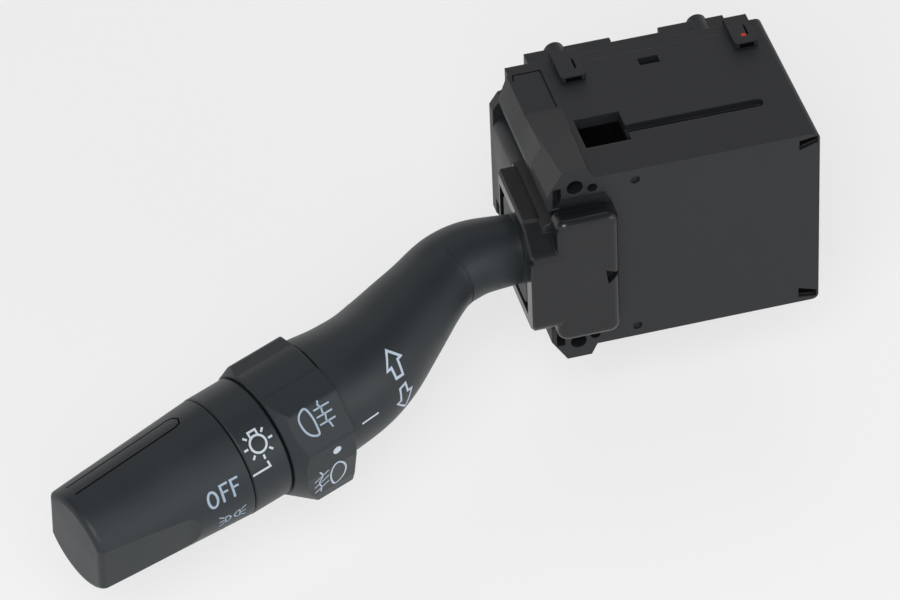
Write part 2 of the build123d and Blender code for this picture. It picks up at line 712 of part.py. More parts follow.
# ---- cancel pawl ------------------------------------------------------------
def make_cancel_pawl():
    """Pawl whose tip stands out of the right end, where the steering hub passes."""
    y = (pawl_y - pawl_thick / 2, pawl_y + pawl_thick / 2)
    body = rod_y(4.2, y, pawl_pivot_x)
    tip = prism_y(((pawl_pivot_x, -3.0), (pawl_pivot_x, 3.0), (pawl_reach - 2.0, 2.0), (pawl_reach, 0.6),
                   (pawl_reach, -0.6), (pawl_reach - 2.0, -2.0)), y)
    tail = block((pawl_pivot_x - 7.5, pawl_pivot_x), y, (-1.5, 1.5))
    tail += rod_y(1.0, (y[1] - 0.5, y[1] + 2.6), pawl_pivot_x - 6.3)
    return body + tip + tail - rod_y(pawl_pin_radius + bearing_gap, (0, 60), pawl_pivot_x)


def make_cancel_pin():
    return rod_y(pawl_pin_radius, (front_wall + 2.0, pawl_y + 8.0), pawl_pivot_x)


def make_cancel_spring():
    """Leaf spring that centres the pawl, clipped over the cover's boss."""
    y0 = pawl_y + pawl_thick / 2 + 0.7
    ring = rod_y(4.0, (y0, y0 + 2.0), pawl_pivot_x) - rod_y(3.42, (y0 - 1, y0 + 3), pawl_pivot_x)
    leaf = block((pawl_pivot_x - 8.0, pawl_pivot_x - 3.6), (y0, y0 + 2.0), (3.0, 3.5))
    return ring + mirrored(leaf + block((pawl_pivot_x - 4.4, pawl_pivot_x - 3.6), (y0, y0 + 2.0), (1.0, 3.5)))


# ---- end group, in the end frame: X to the driver, Y up, Z to the tip -------
collar_z = (seam, seam + collar_length)
ring_z = (collar_z[1] + seam, collar_z[1] + seam + ring_length - 2 * seam)
knob_z = (ring_z[1] + seam, ring_z[1] + seam + knob_length)
collar_web_z = (collar_z[1] - 1.3 - web_thick, collar_z[1] - 1.3)
ring_web_z = (collar_web_z[1] + 3.6, knob_z[0] - 2.4)
knob_web_z = (ring_web_z[1] + 3.6, ring_web_z[1] + 3.6 + web_thick)
spindle_end = knob_z[0] + 30.0
ball_track = 8.6


def make_end_spindle():
    spindle = rod_z(spindle_radius, (-flange_length, spindle_end))
    spindle += rod_z(flange_radius, (-flange_length, 0.0))
    spindle -= rod_z(spindle_bore, (-20, 90))
    groove = knob_web_z[1] + 0.2
    spindle -= tube_z(spindle_radius + 1, spindle_radius - 0.6, (groove, groove + 1.0))
    return spindle


def make_spindle_clip():
    groove = knob_web_z[1] + 0.2
    clip = tube_z(spindle_radius + 1.4, spindle_radius - 0.6, (groove + 0.05, groove + 0.95))
    return clip - Pos(0, 5, groove) * Box(5.0, 10, 4)


def lobe(points):
    """Grip lobe: its outline over the collar's length, with the corners rounded."""
    bar = extrude(Plane((0, 0, collar_z[0])) * Polygon((0, 0), *points, align=None), collar_length, dir=(0, 0, 1))
    edges = bar.edges().filter_by(Axis.Z)
    corners = [e for e in edges if hypot(e.center().X, e.center().Y) > collar_radius + 0.5]
    return fillet(corners, lobe_round) if corners else bar


def lobe_limit():
    """Turned shape that rounds the lobes at the root and slopes them down at the tip."""
    wide = max(hypot(x, y) for x, y in lobe_front + lobe_back)
    outline = Plane.XZ * Polygon(
        (0, collar_z[0]), (wide - 0.8, collar_z[0]), (wide, collar_z[0] + 0.8),
        (wide, collar_z[1] - (wide - ring_radius - 0.4) / lobe_slope), (ring_radius + 0.4, collar_z[1]),
        (0, collar_z[1]), align=None)
    return revolve(outline, Axis.Z)


def make_fog_collar():
    """Fog-lamp collar: round body with two grip lobes, turning on the spindle."""
    lobes = (lobe(lobe_front) + lobe(lobe_back)) & lobe_limit()
    body = rod_z(collar_radius, collar_z)
    body = chamfer(body.edges().filter_by(GeomType.CIRCLE), 0.5)
    body += lobes
    body -= rod_z(collar_bore, (collar_z[0] - 1, collar_web_z[0]))
    body -= rod_z(collar_bore, (collar_web_z[1], collar_z[1] + 1))
    body -= rod_z(spindle_radius + bearing_gap, (-10, 90))
    for angle in (-fog_angle, 0, fog_angle):
        body -= Rot(0, 0, angle) * Pos(ball_track, 0, collar_web_z[1] + ball_radius - 0.45) * Sphere(
            ball_radius + ball_gap)
    return body


def make_fog_contact_disc():
    z1 = collar_web_z[0] - 2.4
    return tube_z(collar_bore - 1.0, spindle_radius + 0.02, (z1 - disc_thick, z1))


def wiper(z0, z1, outer):
    """Spring-copper ring on a rotor, with three fingers towards the contact disc."""
    ring = tube_z(outer, outer - 1.6, (z1 - wiper_thick, z1))
    for k in range(3):
        finger = block((outer - 1.4, outer - 0.2), (-0.8, 0.8), (z0, z1 - wiper_thick))
        ring += Rot(0, 0, 120 * k + 20) * finger
    return ring


def make_fog_wiper():
    return wiper(collar_web_z[0] - 2.4 + 0.15, collar_web_z[0], collar_bore - 2.4)


def make_index_ring():
    """Ring that stays still between collar and knob and holds both detents."""
    ring = rod_z(ring_radius, ring_z)
    ring = chamfer(ring.edges().filter_by(GeomType.CIRCLE), 0.3)
    ring -= rod_z(collar_bore, (ring_z[0] - 1, ring_web_z[0]))
    ring -= rod_z(collar_bore, (ring_web_z[1], ring_z[1] + 1))
    ring -= rod_z(spindle_radius + 0.02, (-10, 90))
    ring -= Pos(ball_track, 0, 0) * rod_z(ball_radius + 0.08, (ring_web_z[0] - 1, ring_web_z[0] + 3.4))
    ring -= Pos(-ball_track, 0, 0) * rod_z(ball_radius + 0.08, (ring_web_z[1] - 3.4, ring_web_z[1] + 1))
    return ring


def make_fog_ball():
    return Pos(ball_track, 0, collar_web_z[1] + ball_gap + ball_radius) * Sphere(ball_radius)


def make_light_ball():
    return Pos(-ball_track, 0, knob_web_z[0] - ball_gap - ball_radius) * Sphere(ball_radius)


def make_fog_spring():
    z1 = ring_web_z[0] + 3.4
    z0 = collar_web_z[1] + ball_gap + 2 * ball_radius
    return Pos(ball_track, 0, z0) * coil(ball_radius - 0.1, 0.5, z1 - z0)


def make_light_spring():
    z0 = ring_web_z[1] - 3.4
    z1 = knob_web_z[0] - ball_gap - 2 * ball_radius
    return Pos(-ball_track, 0, z0) * coil(ball_radius - 0.1, 0.5, z1 - z0)


def grip_flat(side):
    """What is cut away to leave one grip flat of the knob."""
    start = knob_z[0] + knob_flat_start
    lean = degrees(atan2(knob_base_radius - knob_flat - 1.2, knob_length - knob_flat_start))
    cutter = block((0, 20), (-20, 20), (0, 60))
    cutter = fillet(cutter.edges().filter_by(Axis.Y).sort_by(lambda e: hypot(e.center().X, e.center().Z))[:1], 6.0)
    cutter = Pos(knob_base_radius - 1.2, 0, start) * Rot(0, -lean, 0) * cutter
    return cutter if side > 0 else Rot(0, 0, 180) * cutter


def make_light_knob():
    """Rotary light knob: a cone with two grip flats, turning on the spindle."""
    outline = Plane.XZ * Polygon((0, knob_z[0]), (knob_base_radius, knob_z[0]), (knob_tip_radius, knob_z[1]),
                                 (0, knob_z[1]), align=None)
    body = revolve(outline, Axis.Z)
    body -= grip_flat(1)
    body -= grip_flat(-1)
    tip = body.faces().sort_by(Axis.Z)[-1]
    body = fillet(tip.edges(), knob_round)
    body -= rod_z(collar_bore, (knob_z[0] - 1, knob_web_z[0]))
    body -= rod_z(knob_bore, (knob_web_z[1], knob_z[1] - 3.0))
    body -= rod_z(spindle_radius + bearing_gap, (-10, knob_z[1] - 3.0))
    guide = (spindle_end - 8.0, spindle_end - 4.0)
    body += tube_z(knob_bore + 0.2, spindle_radius + bearing_gap, guide)
    for angle in (0, light_angle / 2, light_angle):
        body -= Rot(0, 0, 180 - angle) * Pos(ball_track, 0, knob_web_z[0] - ball_radius + 0.45) * Sphere(
            ball_radius + ball_gap)
    return body


def make_light_contact_disc():
    z0 = knob_web_z[1] + 2.6
    return tube_z(knob_bore - 0.3, spindle_radius + 0.02, (z0, z0 + disc_thick))


def make_light_wiper():
    """Spring-copper ring on the knob's web, with fingers towards the contact disc."""
    z0 = knob_web_z[1]
    z1 = knob_web_z[1] + 2.6 - 0.15
    ring = tube_z(knob_bore - 0.2, knob_bore - 1.6, (z0, z0 + wiper_thick))
    for k in range(3):
        ring += Rot(0, 0, 120 * k + 20) * block((knob_bore - 1.4, knob_bore - 0.4), (-0.8, 0.8), (z0 + wiper_thick, z1))
    return ring


# ---- write every piece ------------------------------------------------------
straight_pieces = {
    "main_case": make_main_case,
    "rear_cover": make_rear_cover,
    "terminal_blades": make_terminal_blades,
    "turn_bracket": make_turn_bracket,
    "dimmer_pivot_pin": make_dimmer_pin,
    "turn_detent_cam": make_detent_cam,
    "turn_detent_plunger": make_turn_plunger,
    "turn_detent_spring": make_turn_spring,
    "turn_contact_plate": make_turn_contact_plate,
    "turn_slider": make_turn_slider,
    "turn_wiper": make_turn_wiper,
    "stalk_core": make_stalk_core,
    "stalk_sleeve": make_stalk_sleeve,
    "dimmer_cam": make_dimmer_cam,
    "dimmer_plunger": make_dimmer_plunger,
    "dimmer_spring": make_dimmer_spring,
    "dimmer_slider": make_dimmer_slider,
    "dimmer_wiper": make_dimmer_wiper,
    "dimmer_contact_plate": make_dimmer_contact_plate,
    "cancel_pawl": make_cancel_pawl,
    "cancel_pin": make_cancel_pin,
    "cancel_spring": make_cancel_spring,
}
end_pieces = {
    "end_spindle": make_end_spindle,
    "spindle_clip": make_spindle_clip,
    "fog_collar": make_fog_collar,
    "fog_contact_disc": make_fog_contact_disc,
    "fog_wiper": make_fog_wiper,
    "fog_detent_ball": make_fog_ball,
    "fog_detent_spring": make_fog_spring,
    "index_ring": make_index_ring,
    "light_knob": make_light_knob,
    "light_contact_disc": make_light_contact_disc,
    "light_wiper": make_light_wiper,
    "light_detent_ball": make_light_ball,
    "light_detent_spring": make_light_spring,
}
for name, make in straight_pieces.items():
    export_step(make(), f"parts/{name}.step")
for name, make in end_pieces.items():
    export_step(end_plane * make(), f"parts/{name}.step")
print("end frame", end_plane.origin, end_plane.z_dir, end_plane.x_dir)
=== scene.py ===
import math

import bpy
from mathutils import Matrix, Vector


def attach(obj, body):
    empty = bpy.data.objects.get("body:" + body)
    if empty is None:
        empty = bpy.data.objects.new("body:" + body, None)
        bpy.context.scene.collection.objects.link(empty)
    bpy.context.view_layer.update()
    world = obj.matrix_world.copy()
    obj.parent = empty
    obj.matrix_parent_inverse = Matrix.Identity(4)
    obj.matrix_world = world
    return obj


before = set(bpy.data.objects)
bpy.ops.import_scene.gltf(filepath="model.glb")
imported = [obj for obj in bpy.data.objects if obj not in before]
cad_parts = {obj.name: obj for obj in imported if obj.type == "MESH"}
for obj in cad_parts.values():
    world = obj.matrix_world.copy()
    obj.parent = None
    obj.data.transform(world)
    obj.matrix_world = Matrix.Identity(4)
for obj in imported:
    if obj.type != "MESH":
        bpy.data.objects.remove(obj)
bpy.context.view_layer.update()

MM = 0.001

# ---- camera ------------------------------------------------------------------
camera_place = (-0.247224, -0.911273, 0.803477)
camera_right = (0.96447, -0.26180, -0.03548)
camera_up = (0.19690, 0.62274, 0.75725)
camera_back = (-0.17616, -0.73733, 0.65216)
camera_lens = 221.67
sensor_width = 36.0


def add_camera():
    data = bpy.data.cameras.new("camera")
    data.lens = camera_lens
    data.sensor_width = sensor_width
    data.clip_end = 20.0
    camera = bpy.data.objects.new("camera", data)
    columns = Matrix((camera_right, camera_up, camera_back)).transposed()
    camera.matrix_world = Matrix.Translation(camera_place) @ columns.to_4x4()
    bpy.context.scene.collection.objects.link(camera)
    bpy.context.scene.camera = camera


# ---- light -------------------------------------------------------------------
world_strength = 0.70
overhead_share = 0.2      # of the world's white that is left high overhead
overhead_from = 0.25      # rise of the ray where the dimming starts
overhead_to = 0.60
floor_height = -0.060     # lower than the stalk's end reaches in any pose
floor_size = 6.0
floor_own_white = 0.6     # share of the seen floor that is its own white


def add_area(name, place, size, power):
    """Square lamp that faces the part."""
    data = bpy.data.lights.new(name, "AREA")
    data.energy = power
    data.size = size
    lamp = bpy.data.objects.new(name, data)
    lamp.location = place
    lamp.rotation_euler = (-Vector(place)).to_track_quat("-Z", "Y").to_euler()
    bpy.context.scene.collection.objects.link(lamp)


def add_seen(tree):
    """1 for the rays that show the background: camera, glossy and transmission rays."""
    path = tree.nodes.new("ShaderNodeLightPath")
    total = path.outputs["Is Camera Ray"]
    for name in ("Is Glossy Ray", "Is Transmission Ray"):
        larger = tree.nodes.new("ShaderNodeMath")
        larger.operation = "MAXIMUM"
        tree.links.new(total, larger.inputs[0])
        tree.links.new(path.outputs[name], larger.inputs[1])
        total = larger.outputs["Value"]
    return total


def add_world():
    """Soft white light that dims overhead; at full strength where it is seen as background."""
    world = bpy.data.worlds.new("studio")
    world.use_nodes = True
    tree = world.node_tree
    tree.nodes.clear()
    soft = tree.nodes.new("ShaderNodeBackground")
    soft.inputs["Strength"].default_value = world_strength
    white = tree.nodes.new("ShaderNodeBackground")
    white.inputs["Strength"].default_value = 1.0
    way = tree.nodes.new("ShaderNodeTexCoord")
    split = tree.nodes.new("ShaderNodeSeparateXYZ")
    dim = tree.nodes.new("ShaderNodeMapRange")
    dim.inputs["From Min"].default_value = overhead_from
    dim.inputs["From Max"].default_value = overhead_to
    dim.inputs["To Min"].default_value = 1.0
    dim.inputs["To Max"].default_value = overhead_share
    tree.links.new(way.outputs["Generated"], split.inputs["Vector"])
    tree.links.new(split.outputs["Z"], dim.inputs["Value"])
    tree.links.new(dim.outputs["Result"], soft.inputs["Color"])
    tree.links.new(dim.outputs["Result"], white.inputs["Color"])
    mix = tree.nodes.new("ShaderNodeMixShader")
    out = tree.nodes.new("ShaderNodeOutputWorld")
    tree.links.new(add_seen(tree), mix.inputs["Fac"])
    tree.links.new(soft.outputs["Background"], mix.inputs[1])
    tree.links.new(white.outputs["Background"], mix.inputs[2])
    tree.links.new(mix.outputs["Shader"], out.inputs["Surface"])
    bpy.context.scene.world = world


def add_floor():
    """Pale floor, partly of its own white where it is seen, that keeps a soft shadow."""
    bpy.ops.object.select_all(action="DESELECT")
    bpy.ops.mesh.primitive_plane_add(size=floor_size, location=(0, 0, floor_height))
    floor = bpy.context.object
    floor.name = "floor"
    material = bpy.data.materials.new("floor_white")
    material.use_nodes = True
    shader = material.node_tree.nodes["Principled BSDF"]
    shader.inputs["Base Color"].default_value = (1, 1, 1, 1)
    shader.inputs["Roughness"].default_value = 0.9
    tree = material.node_tree
    white = tree.nodes.new("ShaderNodeEmission")
    white.inputs["Strength"].default_value = 1.0
    share = tree.nodes.new("ShaderNodeMath")
    share.operation = "MULTIPLY"
    share.inputs[1].default_value = floor_own_white
    mix = tree.nodes.new("ShaderNodeMixShader")
    tree.links.new(add_seen(tree), share.inputs[0])
    tree.links.new(share.outputs["Value"], mix.inputs["Fac"])
    tree.links.new(shader.outputs["BSDF"], mix.inputs[1])
    tree.links.new(white.outputs["Emission"], mix.inputs[2])
    tree.links.new(mix.outputs["Shader"], tree.nodes["Material Output"].inputs["Surface"])
    floor.data.materials.append(material)


# ---- shared effects ----------------------------------------------------------
def group_socket(group, name, way, kind, value=None):
    socket = group.interface.new_socket(name=name, in_out=way, socket_type=kind)
    if value is not None:
        socket.default_value = value


def make_grain_group():
    """Moulded grain: a fine pebbled height, and slow patches that vary colour and gloss."""
    group = bpy.data.node_groups.new("moulded_grain", "ShaderNodeTree")
    group_socket(group, "Scale", "INPUT", "NodeSocketFloat", 3000.0)
    group_socket(group, "Patch Scale", "INPUT", "NodeSocketFloat", 60.0)
    group_socket(group, "Height", "OUTPUT", "NodeSocketFloat")
    group_socket(group, "Patches", "OUTPUT", "NodeSocketFloat")
    nodes, links = group.nodes, group.links
    start = nodes.new("NodeGroupInput")
    end = nodes.new("NodeGroupOutput")
    place = nodes.new("ShaderNodeTexCoord")
    grain = nodes.new("ShaderNodeTexNoise")
    grain.inputs["Detail"].default_value = 3.0
    cells = nodes.new("ShaderNodeTexVoronoi")
    cells.feature = "SMOOTH_F1"
    patches = nodes.new("ShaderNodeTexNoise")
    patches.inputs["Detail"].default_value = 4.0
    both = nodes.new("ShaderNodeMath")
    both.operation = "ADD"
    links.new(place.outputs["Object"], grain.inputs["Vector"])
    links.new(place.outputs["Object"], cells.inputs["Vector"])
    links.new(place.outputs["Object"], patches.inputs["Vector"])
    links.new(start.outputs["Scale"], grain.inputs["Scale"])
    links.new(start.outputs["Scale"], cells.inputs["Scale"])
    links.new(start.outputs["Patch Scale"], patches.inputs["Scale"])
    links.new(grain.outputs["Fac"], both.inputs[0])
    links.new(cells.outputs["Distance"], both.inputs[1])
    links.new(both.outputs["Value"], end.inputs["Height"])
    links.new(patches.outputs["Fac"], end.inputs["Patches"])
    return group


plastic_ior = 1.42
edge_softness = 0.0004
bump_strength = 0.5


def plastic(name, dark, light, rough, grain_scale, grain_depth, ior=plastic_ior):
    """Moulded plastic: colour and gloss drift in patches, fine grain, edges softened in the shading."""
    material = bpy.data.materials.new(name)
    material.use_nodes = True
    nodes, links = material.node_tree.nodes, material.node_tree.links
    shader = nodes["Principled BSDF"]
    shader.inputs["IOR"].default_value = ior
    grain = nodes.new("ShaderNodeGroup")
    grain.node_tree = grain_group
    grain.inputs["Scale"].default_value = grain_scale
    colour = nodes.new("ShaderNodeMix")
    colour.data_type = "RGBA"
    colour.inputs[6].default_value = (*dark, 1)
    colour.inputs[7].default_value = (*light, 1)
    spread = nodes.new("ShaderNodeMapRange")
    spread.inputs["From Min"].default_value = 0.3
    spread.inputs["From Max"].default_value = 0.7
    spread.inputs["To Min"].default_value = rough[0]
    spread.inputs["To Max"].default_value = rough[1]
    edge = nodes.new("ShaderNodeBevel")
    edge.samples = 4
    edge.inputs["Radius"].default_value = edge_softness
    bump = nodes.new("ShaderNodeBump")
    bump.inputs["Strength"].default_value = bump_strength
    bump.inputs["Distance"].default_value = grain_depth
    links.new(grain.outputs["Patches"], colour.inputs["Factor"])
    links.new(colour.outputs[2], shader.inputs["Base Color"])
    links.new(grain.outputs["Patches"], spread.inputs["Value"])
    links.new(spread.outputs["Result"], shader.inputs["Roughness"])
    links.new(grain.outputs["Height"], bump.inputs["Height"])
    links.new(edge.outputs["Normal"], bump.inputs["Normal"])
    links.new(bump.outputs["Normal"], shader.inputs["Normal"])
    return material


def metal(name, colour, rough):
    """Bare metal whose gloss drifts in patches."""
    material = bpy.data.materials.new(name)
    material.use_nodes = True
    nodes, links = material.node_tree.nodes, material.node_tree.links
    shader = nodes["Principled BSDF"]
    shader.inputs["Metallic"].default_value = 1.0
    shader.inputs["Base Color"].default_value = (*colour, 1)
    grain = nodes.new("ShaderNodeGroup")
    grain.node_tree = grain_group
    grain.inputs["Scale"].default_value = 900.0
    spread = nodes.new("ShaderNodeMapRange")
    spread.inputs["To Min"].default_value = rough * 0.7
    spread.inputs["To Max"].default_value = rough * 1.4
    links.new(grain.outputs["Patches"], spread.inputs["Value"])
    links.new(spread.outputs["Result"], shader.inputs["Roughness"])
    return material


def dress(material, *names):
    """Give solids of the CAD model a material."""
    for name in names:
        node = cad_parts[name]
        node.data.materials.clear()
        node.data.materials.append(material)


# ---- printed marks, paint and painted shade ----------------------------------
# The end frame: its origin where the collar starts, one way to the tip, one to the
# driver, and one up over the stalk. Angles turn from the upper way to the driver.
end_origin = Vector((-65.9788, -19.0007, -6.64916))
tip_way = Vector((-0.927184, -0.365005, -0.084268))
driver_way = Vector((0.374607, -0.90342, -0.208571))
upper_way = tip_way.cross(driver_way)
mark_film = 0.03          # how far print and paint stand off the surface
mark_clearance = 4.0      # a mark starts this far outside and is laid down from there
oval_steps = 28


def ribbon(points, width, closed=False):
    """Outlines of a stroke of even width along some points, mitred at its corners."""
    count = len(points)
    sides = ([], [])
    for k in range(count):
        before = points[k - 1] if k or closed else points[k]
        after = points[(k + 1) % count] if k < count - 1 or closed else points[k]
        ways = []
        for a, b in ((before, points[k]), (points[k], after)):
            length = math.hypot(b[0] - a[0], b[1] - a[1])
            if length > 1e-9:
                ways.append(((b[0] - a[0]) / length, (b[1] - a[1]) / length))
        first, last = ways[0], ways[-1]
        normal = (-first[1] - last[1], first[0] + last[0])
        scale = width / (1.0 + first[0] * last[0] + first[1] * last[1]) / 2.0
        scale = min(scale, width)
        for side, way in zip(sides, (1, -1)):
            side.append((points[k][0] + way * normal[0] * scale, points[k][1] + way * normal[1] * scale))
    if closed:
        return [[sides[0], sides[1]]]
    return [[sides[0] + sides[1][::-1]]]


def oval(centre, radii, width=0.0):
    """A closed round stroke, or a filled spot where it has no width."""
    step = math.tau / oval_steps
    points = [(centre[0] + radii[0] * math.cos(k * step), centre[1] + radii[1] * math.sin(k * step))
              for k in range(oval_steps)]
    return ribbon(points, width, True) if width else [[points]]


def between(a, b, c, d, t):
    """Smooth step from b to c, with a before and d after them."""
    bend = 2 * a - 5 * b + 4 * c - d
    twist = 3 * b - a - 3 * c + d
    return 0.5 * (2 * b + (c - a) * t + bend * t * t + twist * t ** 3)


def rounded(points, steps=5):
    """Closed smooth line through some points."""
    line = []
    count = len(points)
    for k in range(count):
        four = [points[(k + m - 1) % count] for m in range(4)]
        for step in range(steps):
            line.append(tuple(between(*values, step / steps) for values in zip(*four)))
    return line


def end_place(facing, across, up, along):
    """Plane of a mark over the end group: X to the root, Y up over the stalk, Z outward."""
    turn = math.radians(facing)
    out = (driver_way * math.sin(turn) + upper_way * math.cos(turn)).normalized()
    right = -tip_way.normalized()
    high = out.cross(right)
    centre = end_origin + driver_way * across + upper_way * up + tip_way * along + out * mark_clearance
    columns = Matrix((right, high, out)).transposed().to_4x4()
    return Matrix.Translation(centre * MM) @ columns


def on_ring(angle, along, radius=14.4):
    """Plane of a mark that faces straight out from the end group's axis."""
    turn = math.radians(angle)
    return end_place(angle, radius * math.sin(turn), radius * math.cos(turn), along)


def add_mark(name, shapes, place, node, body, material, cuts=4):
    """Flat strokes filled, made meshes and joined, laid on one solid and riding its body."""
    bpy.ops.object.select_all(action="DESELECT")
    parts = []
    for outlines in shapes:
        curve = bpy.data.curves.new(name, "CURVE")
        curve.dimensions = "2D"
        curve.fill_mode = "BOTH"
        for outline in outlines:
            spline = curve.splines.new("POLY")
            spline.points.add(len(outline) - 1)
            for point, (x, y) in zip(spline.points, outline):
                point.co = (x * MM, y * MM, 0.0, 1.0)
            spline.use_cyclic_u = True
        parts.append(bpy.data.objects.new(name, curve))
        bpy.context.scene.collection.objects.link(parts[-1])
        parts[-1].select_set(True)
    bpy.context.view_layer.objects.active = parts[0]
    bpy.ops.object.convert(target="MESH")
    if len(shapes) > 1:
        bpy.ops.object.join()
    mark = bpy.context.object
    mark.name = name
    bpy.ops.object.mode_set(mode="EDIT")
    bpy.ops.mesh.select_all(action="SELECT")
    bpy.ops.mesh.subdivide(number_cuts=cuts)
    bpy.ops.object.mode_set(mode="OBJECT")
    mark.matrix_world = place
    wrap = mark.modifiers.new("lay", "SHRINKWRAP")
    wrap.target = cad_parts[node]
    wrap.wrap_method = "PROJECT"
    wrap.use_project_z = True
    wrap.use_negative_direction = True
    wrap.use_positive_direction = False
    wrap.offset = mark_film * MM
    bpy.ops.object.modifier_apply(modifier=wrap.name)
    bpy.ops.object.transform_apply(location=True, rotation=True, scale=True)
    mark.data.materials.clear()
    mark.data.materials.append(material)
    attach(mark, body)
    return mark


def lamp_marks():
    """Main light sign, its rays and the index line on the still ring."""
    shapes = oval((0, 0), (1.95, 1.95), 0.52)
    shapes += ribbon([(-0.95, 1.75), (-0.95, 3.1), (0.95, 3.1), (0.95, 1.75)], 0.48)
    for angle in (-135, -90, -45, 0, 45, 135, 180):
        c, d = math.cos(math.radians(angle)), math.sin(math.radians(angle))
        shapes += ribbon([(2.65 * c, 2.65 * d), (3.7 * c, 3.7 * d)], 0.5)
    add_mark("main_light_sign", shapes, on_ring(37.4, 21.3), "index_ring", "dimmer_lever", mark_white)
    index = ribbon([(-2.35, 0.0), (2.3, 0.0), (2.05, 1.45)], 0.5)
    add_mark("index_line", index, on_ring(60.6, 23.1), "index_ring", "dimmer_lever", mark_white)


def knob_marks():
    """The word OFF, with the parking-lamp sign and the headlamp sign after it."""
    word = oval((-2.95, -0.15), (1.12, 1.95), 0.58)
    for x in (-0.5, 2.15):
        word += ribbon([(x, -2.1), (x, 2.15), (x + 1.85, 2.15)], 0.56)
        word += ribbon([(x + 0.1, 0.35), (x + 1.55, 0.35)], 0.5)
    add_mark("off_word", word, on_ring(62.0, 32.85, 13.8), "light_knob", "light_switch", mark_blue)
    left = [(-1.75, 0.95), (-1.75, -0.95), (-0.85, -0.75), (-0.5, 0.0), (-0.85, 0.75)]
    right = [(1.75, 1.0), (1.75, -1.0), (0.8, -0.8), (0.4, 0.0), (0.8, 0.8)]
    lamps = ribbon(rounded(left), 0.34, True) + ribbon(rounded(right), 0.34, True)
    for y in (-1.0, 0.0, 1.0):
        lamps += ribbon([(-3.4, y * 1.75), (-2.15, y * 0.95)], 0.32)
        lamps += ribbon([(2.15, y * 0.95), (3.4, y * 1.75)], 0.32)
    add_mark("parking_lamp_sign", lamps, on_ring(93.6, 31.9, 13.9), "light_knob", "light_switch", mark_blue)
    head = ribbon(rounded([(0.4, 1.5), (0.4, -1.5), (1.9, -1.2), (2.6, 0.0), (1.9, 1.2)]), 0.4, True)
    for y in (-1.2, -0.4, 0.4, 1.2):
        head += ribbon([(-2.6, y - 0.7), (-0.3, y)], 0.34)
    add_mark("headlamp_sign", head, on_ring(128.0, 31.9, 13.9), "light_knob", "light_switch", mark_blue)


def fog_marks():
    """Both fog-lamp signs and the dot on the collar."""
    lamp = [(-1.7, 3.75), (-3.1, 3.55), (-4.05, 2.4), (-4.15, 0.9), (-3.75, -0.9), (-2.7, -2.3), (-1.15, -2.8),
            (-0.85, -1.2), (-0.95, 1.4)]
    shapes = ribbon(rounded(lamp), 0.48, True)
    for y in (2.4, 0.65, -1.15):
        shapes += ribbon([(-0.1, y), (4.05, y)], 0.4)
    rear = end_place(45.0, 11.5, 11.5, 7.2)
    add_mark("rear_fog_sign", shapes, rear, "fog_collar", "fog_switch", mark_blue)
    wave = ribbon([(1.75, 4.0), (1.35, 3.1), (1.85, 2.1), (1.65, 1.2), (2.1, 0.3), (1.75, -0.7), (2.3, -1.7),
                   (2.55, -2.9)], 0.42)
    add_mark("rear_fog_wave", wave, rear, "fog_collar", "fog_switch", mark_blue)
    spot = end_place(85.0, 16.08, 4.12, 5.4)
    add_mark("collar_dot", oval((0, 0), (1.08, 1.05)), spot, "fog_collar", "fog_switch", mark_white)
    lamp = [(1.35, -4.1), (0.35, -1.6), (0.1, 1.0), (0.6, 3.2), (1.5, 3.95), (2.6, 3.6), (3.7, 2.0), (4.2, 0.0),
            (3.9, -2.2), (2.9, -3.7)]
    shapes = ribbon(rounded(lamp), 0.46, True)
    for x, y in ((-4.33, 1.0), (-4.15, -1.25), (-4.0, -3.55)):
        shapes += ribbon([(x, y), (x + 3.7, y + 2.25)], 0.36)
    front = end_place(94.0, 16.3, -4.0, 7.3)
    add_mark("front_fog_sign", shapes, front, "fog_collar", "fog_switch", mark_pale)
    wave = ribbon([(-3.05, 4.2), (-2.35, 3.0), (-2.3, 1.6), (-2.95, 0.4), (-2.85, -0.9), (-2.2, -2.2),
                   (-2.35, -4.1)], 0.36)
    add_mark("front_fog_wave", wave, front, "fog_collar", "fog_switch", mark_pale)


def handle_marks():
    """Turn arrows and index line on the sleeve."""
    line = ribbon([(-2.35, 0.0), (2.35, 0.0)], 0.46)
    add_mark("handle_line", line, on_ring(73.8, -5.6, 14.0), "stalk_sleeve", "dimmer_lever", mark_white)
    arrow = [(-0.25, 3.4), (2.35, 0.75), (1.2, 0.45), (0.95, -3.1), (-1.15, -3.1), (-1.25, -0.4), (-2.6, -0.65)]
    up = ribbon(arrow, 0.62, True)
    add_mark("upper_arrow", up, on_ring(40.0, -16.2, 12.3), "stalk_sleeve", "dimmer_lever", mark_pale)
    down = ribbon([(-0.95, 3.2), (0.95, 3.35), (1.15, 1.0), (2.55, 0.55), (0.3, -3.6), (-2.5, 0.0), (-1.25, -0.1)],
                  0.58, True)
    add_mark("lower_arrow", down, on_ring(82.0, -16.1, 12.0), "stalk_sleeve", "dimmer_lever", mark_pale)


def paint_dot():
    """Dab of red paint on the right snap tab."""
    bpy.ops.object.select_all(action="DESELECT")
    place = Vector((50.64, 36.8, 25.93)) * MM
    bpy.ops.mesh.primitive_circle_add(vertices=20, radius=0.62 * MM, fill_type="NGON", location=place)
    dot = bpy.context.object
    dot.name = "paint_dot"
    bpy.ops.object.transform_apply(location=True, rotation=True, scale=True)
    dot.data.materials.append(paint_red)
    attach(dot, "housing")


def knob_rib_line():
    """Outline of the long moulded rib along the back of the knob, open at the tip."""
    edge = [(-15.6, 2.05), (13.6, 2.05), (14.9, 1.6), (15.6, 0.0), (14.9, -1.6), (13.6, -2.05), (-15.6, -2.05)]
    add_mark("knob_rib_line", ribbon(edge, 0.36), on_ring(-27.0, 47.4, 13.0), "light_knob", "light_switch",
             deep_black, cuts=10)


